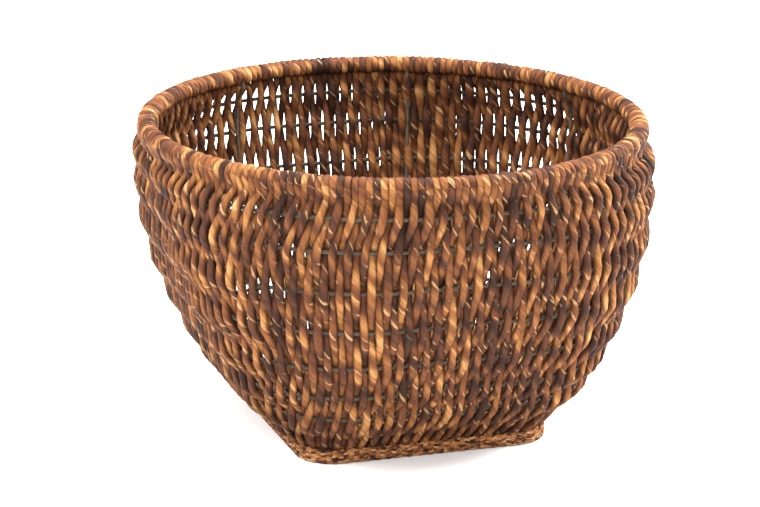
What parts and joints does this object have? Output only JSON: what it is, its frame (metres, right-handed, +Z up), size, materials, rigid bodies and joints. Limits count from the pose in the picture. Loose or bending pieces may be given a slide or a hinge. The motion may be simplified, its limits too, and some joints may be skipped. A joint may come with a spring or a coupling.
{
  "type": "woven fruit basket",
  "caption": "Round-rimmed bowl basket on a square foot, woven from twisted plant fibre strands over a dark wire frame, open at the top.",
  "frame": {"origin": "on the ground under the middle of the square foot", "axes": "+Z up out of the basket's mouth, +X and +Y square to the foot's sides"},
  "size_m": [0.2992, 0.2992, 0.1864],
  "materials": {
    "wire": "dark olive-grey painted steel wire, satin",
    "wall_fibre": "twisted dried plant fibre, mixed dark brown, red-brown and tan, matt to satin",
    "rim_fibre": "twisted dried plant fibre bound over the rim, tan and brown, satin",
    "floor_fibre": "twisted dried plant fibre, brown, matt",
    "plait_fibre": "finely plaited dried plant fibre, orange-tan with dark flecks, matt"
  },
  "bodies": {
    "root": {"rim_ring": "wire", "wire_hoop_1": "wire", "wire_hoop_2": "wire", "wire_hoop_3": "wire", "wire_hoop_4": "wire", "wire_hoop_5": "wire", "wire_hoop_6": "wire", "wire_hoop_7": "wire", "base_ring": "wire", "frame_rib_1": "wire", "frame_rib_2": "wire", "frame_rib_3": "wire", "frame_rib_4": "wire", "frame_rib_5": "wire", "frame_rib_6": "wire", "frame_rib_7": "wire", "frame_rib_8": "wire", "floor_wire_1": "wire", "floor_wire_2": "wire", "floor_wire_3": "wire", "floor_wire_4": "wire", "floor_wire_5": "wire", "wall_right": "wall_fibre", "wall_back_right": "wall_fibre", "wall_back": "wall_fibre", "wall_back_left": "wall_fibre", "wall_left": "wall_fibre", "wall_front_left": "wall_fibre", "wall_front": "wall_fibre", "wall_front_right": "wall_fibre", "rim_binding_right": "rim_fibre", "rim_binding_back_right": "rim_fibre", "rim_binding_back": "rim_fibre", "rim_binding_back_left": "rim_fibre", "rim_binding_left": "rim_fibre", "rim_binding_front_left": "rim_fibre", "rim_binding_front": "rim_fibre", "rim_binding_front_right": "rim_fibre", "woven_floor": "floor_fibre", "foot_plait": "plait_fibre"}
  },
  "joints": []
}
